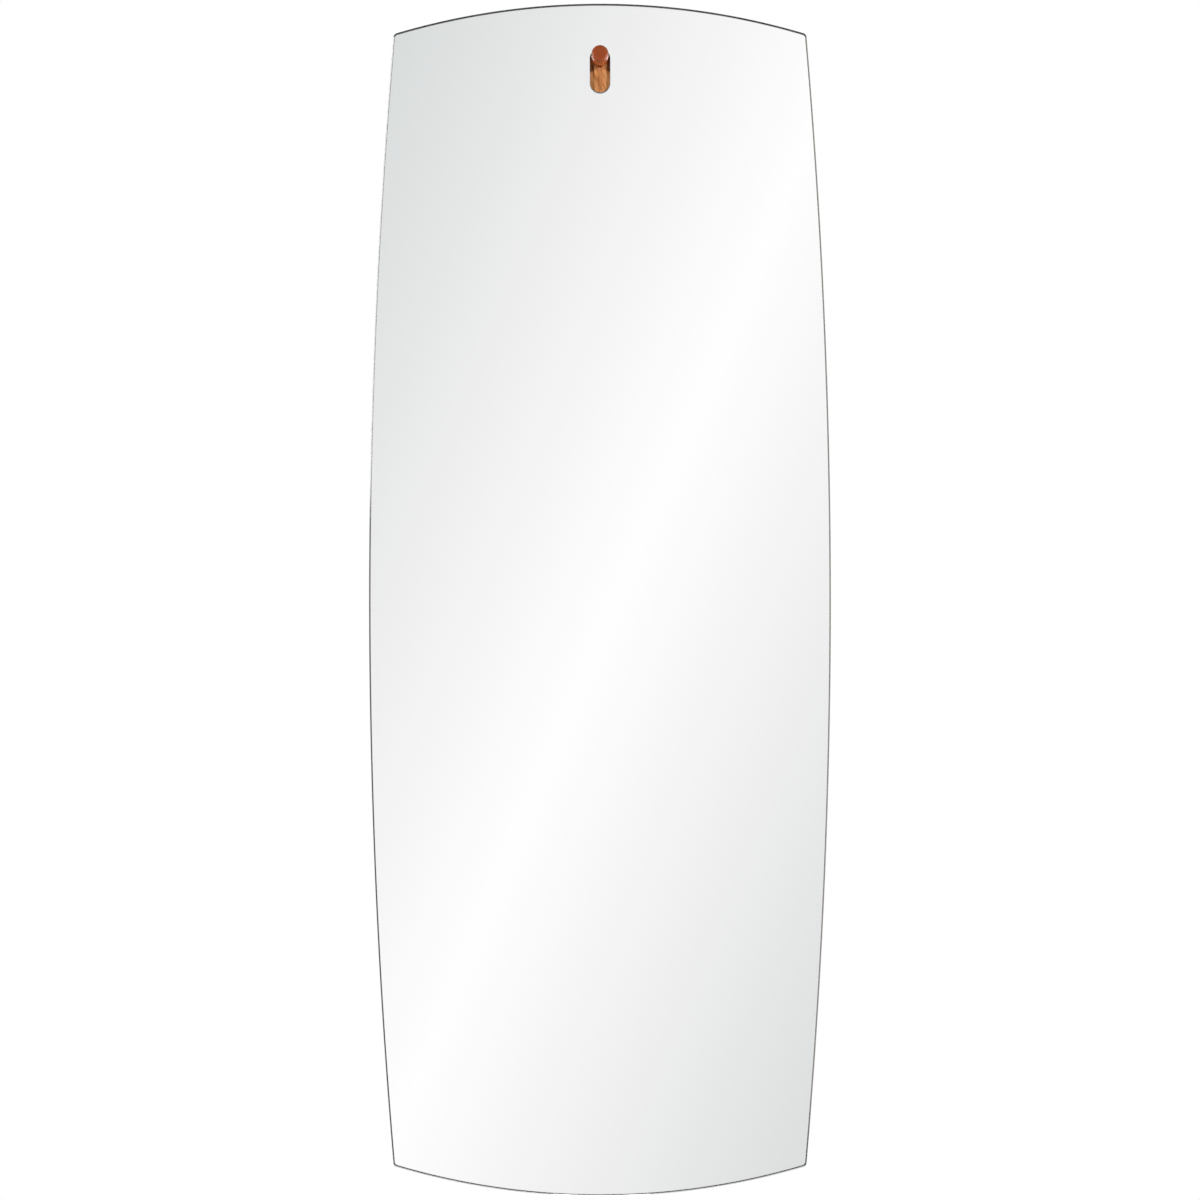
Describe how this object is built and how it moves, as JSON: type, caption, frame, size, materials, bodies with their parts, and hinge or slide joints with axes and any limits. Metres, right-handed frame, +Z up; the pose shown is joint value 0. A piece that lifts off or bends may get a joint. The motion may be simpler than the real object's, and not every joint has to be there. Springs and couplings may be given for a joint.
{
  "type": "wall mirror",
  "caption": "Tall frameless barrel-shaped wall mirror that hangs by an upright slot in its glass on a turned wooden peg, with a wooden wall plate and a stiff back board.",
  "frame": {"origin": "on the wall, midway between the wall plate's two screw holes", "axes": "+X to the viewer's right, +Y into the wall, +Z up; the mirror faces -Y"},
  "size_m": [0.61, 0.0514, 1.575],
  "materials": {
    "glass": "clear, edges polished",
    "silver": "mirror",
    "paint": "matte paint",
    "film": "satin film",
    "board": "black-stained fibreboard",
    "plate_wood": "oiled, upright grain",
    "peg_wood": "satin lacquer",
    "steel": "zinc plated",
    "tape": "white foam",
    "rubber": "matte"
  },
  "bodies": {
    "wall_hook": {"wall_plate": "plate_wood"},
    "hanging_peg": {"peg": "peg_wood", "peg_screw": "steel", "peg_washer": "steel"},
    "mirror": {"mirror_glass": "glass", "silver_layer": "silver", "backing_paint": "paint", "safety_film": "film", "back_panel": "board", "mounting_tape_1": "tape", "mounting_tape_2": "tape", "mounting_tape_3": "tape", "mounting_tape_4": "tape", "mounting_tape_5": "tape", "wall_bumper_top_left": "rubber", "wall_bumper_top_right": "rubber", "wall_bumper_bottom_left": "rubber", "wall_bumper_bottom_right": "rubber"}
  },
  "joints": [
    {"name": "mirror_swing", "type": "hinge", "parent": "wall_hook", "child": "hanging_peg", "pos_m": [0, 0, 0.0218], "axis": [0, 1, 0], "range_deg": [-5, 5]},
    {"name": "mirror_lift", "type": "slide", "parent": "hanging_peg", "child": "mirror", "axis": [0, 0, 1], "range_m": [0, 0.035]}
  ]
}
